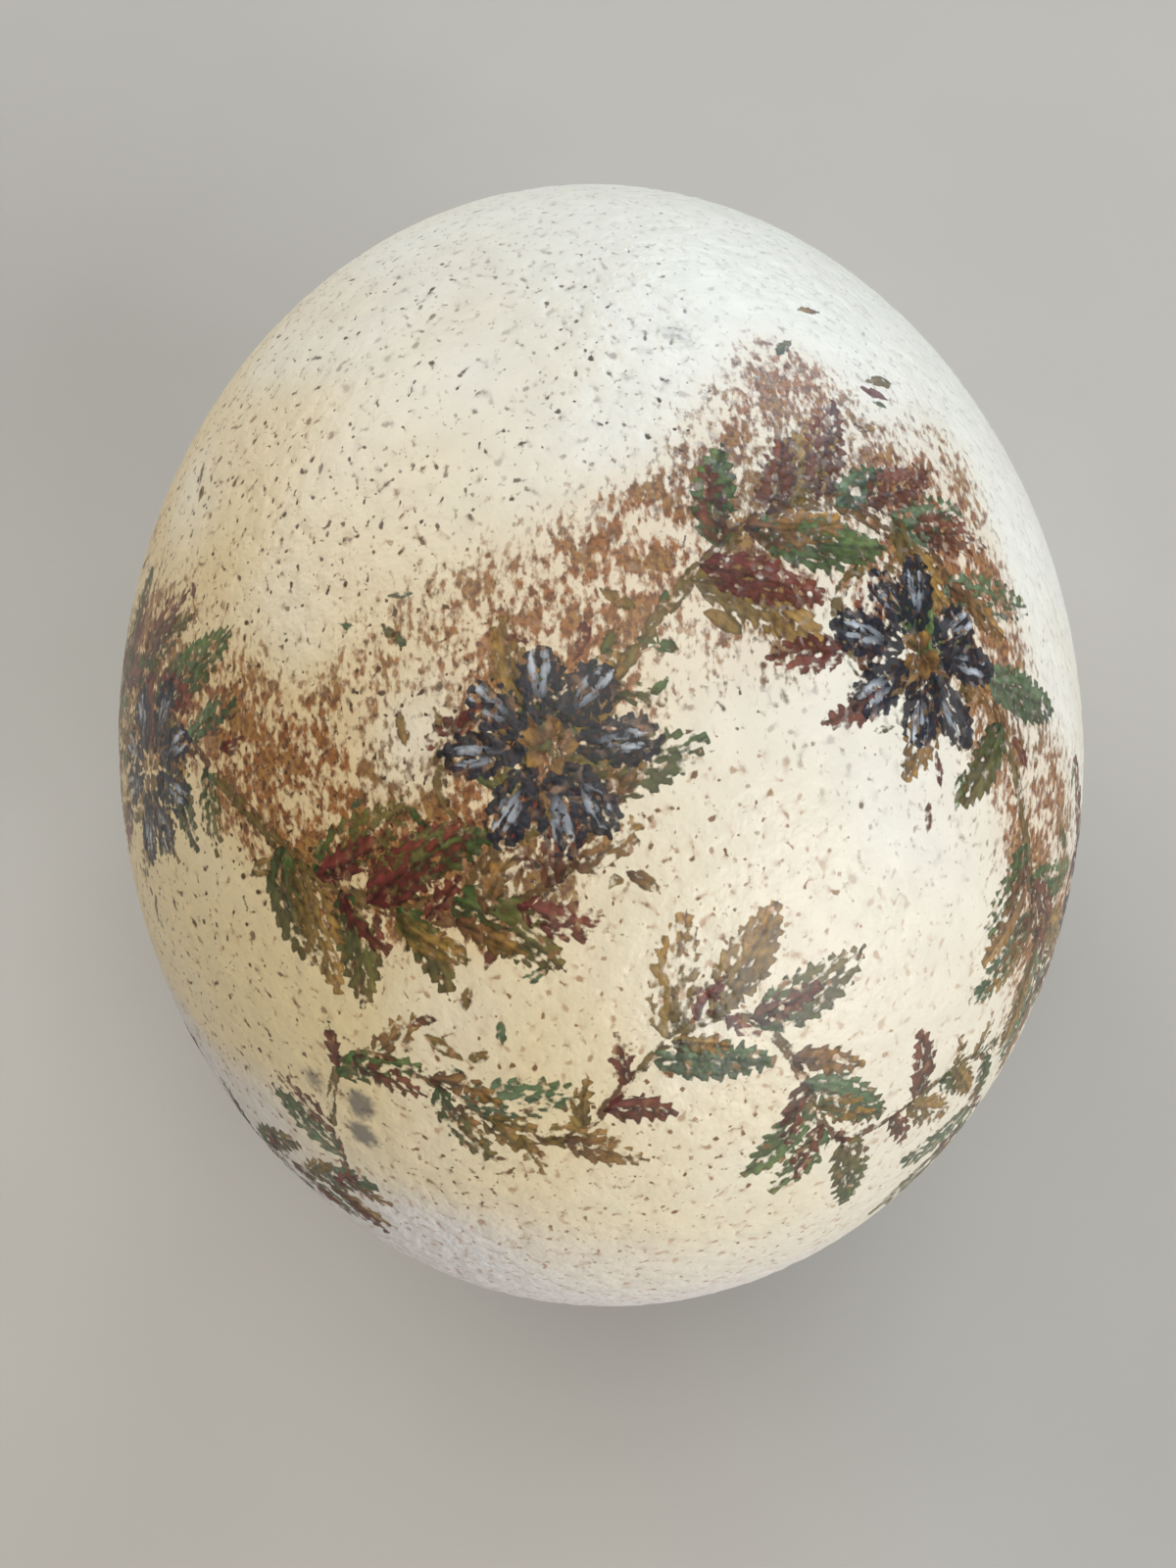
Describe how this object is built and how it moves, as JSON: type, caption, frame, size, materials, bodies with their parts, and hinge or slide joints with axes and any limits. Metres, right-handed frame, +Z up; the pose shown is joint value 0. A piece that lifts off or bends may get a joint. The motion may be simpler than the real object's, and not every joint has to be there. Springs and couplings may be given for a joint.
{
  "type": "ostrich egg",
  "caption": "Whole ostrich egg lying on its side, a nearly ellipsoidal pitted shell painted round its waist, used as an ornament.",
  "frame": {"origin": "on the surface that the egg rests on, under the middle of the egg", "axes": "+Z up, +Y along the egg's long axis away from its blunter end, +X across"},
  "size_m": [0.125, 0.15, 0.1244],
  "materials": {
    "shell": "satin"
  },
  "bodies": {
    "root": {"egg": "shell"}
  },
  "joints": []
}
